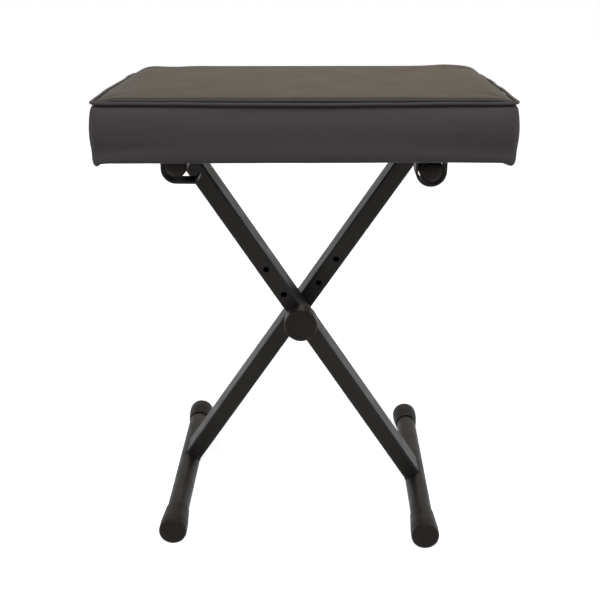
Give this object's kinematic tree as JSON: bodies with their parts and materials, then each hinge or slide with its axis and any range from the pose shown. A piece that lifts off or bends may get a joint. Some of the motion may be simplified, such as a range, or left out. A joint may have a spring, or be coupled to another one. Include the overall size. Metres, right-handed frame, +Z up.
{
  "type": "folding keyboard bench",
  "caption": "Padded rectangular stool seat on two crossed tube legs that fold about a bolt with a hand knob; straps under the seat hold the legs' round cross tubes.",
  "frame": {"origin": "on the floor, under the middle of the seat", "axes": "+Z up, -Y towards the side with the knob, +X to the right as seen from the knob's side"},
  "size_m": [0.4234, 0.304, 0.4973],
  "materials": {
    "vinyl": "dark grey vinyl with a fine grain",
    "piping": "dark vinyl over a cord",
    "foam": "open foam",
    "plywood": "bare plywood",
    "lining": "thin black non-woven cloth",
    "painted_tube": "satin black powder coat",
    "painted_strap": "satin black powder coat",
    "plastic": "moulded black plastic",
    "knob_plastic": "moulded black plastic",
    "nylon": "black nylon",
    "zinc": "bright zinc plate",
    "brass": "turned brass"
  },
  "bodies": {
    "rear_leg": {"rear_leg_tube": "painted_tube", "rear_leg_top_tube": "painted_tube", "rear_leg_foot_tube": "painted_tube", "rear_leg_top_plug_front": "plastic", "rear_leg_top_plug_rear": "plastic", "rear_leg_foot_cap_front": "plastic", "rear_leg_foot_cap_rear": "plastic", "pivot_bolt": "zinc", "bolt_washer": "zinc", "leg_spacer": "nylon"},
    "front_leg": {"front_leg_tube": "painted_tube", "front_leg_top_tube": "painted_tube", "front_leg_foot_tube": "painted_tube", "front_leg_top_plug_front": "plastic", "front_leg_top_plug_rear": "plastic", "front_leg_foot_cap_front": "plastic", "front_leg_foot_cap_rear": "plastic"},
    "seat": {"seat_cover": "vinyl", "seat_piping": "piping", "seat_foam": "foam", "seat_board": "plywood", "seat_lining": "lining", "front_hook": "painted_strap", "rear_hook": "painted_strap", "front_saddle": "painted_strap", "rear_saddle": "painted_strap", "hook_screw_1": "zinc", "hook_screw_2": "zinc", "hook_screw_3": "zinc", "hook_screw_4": "zinc", "saddle_screw_1": "zinc", "saddle_screw_2": "zinc", "saddle_screw_3": "zinc", "saddle_screw_4": "zinc"},
    "knob_washer": {"knob_washer": "zinc"},
    "knob": {"clamp_knob": "knob_plastic", "knob_insert": "brass"}
  },
  "joints": [
    {"name": "leg_fold", "type": "hinge", "parent": "rear_leg", "child": "front_leg", "pos_m": [-0.0028, 0, 0.22872], "axis": [0, 1, 0], "range_deg": [0, 56]},
    {"name": "seat_tilt", "type": "hinge", "parent": "rear_leg", "child": "seat", "pos_m": [0.1312, 0, 0.41943], "axis": [0, 1, 0], "range_deg": [0, 28]},
    {"name": "knob_travel", "type": "slide", "parent": "rear_leg", "child": "knob_washer", "axis": [0, -1, 0], "range_m": [0, 0.0039]},
    {"name": "knob_turn", "type": "hinge", "parent": "knob_washer", "child": "knob", "pos_m": [-0.0028, -0.045, 0.22872], "axis": [0, -1, 0], "range_deg": [0, 1080]}
  ],
  "couplings": [
    {"joint": "seat_tilt", "follows": "leg_fold", "ratio": 0.5},
    {"joint": "knob_travel", "follows": "knob_turn", "m_per_rad": 0.00020213}
  ]
}
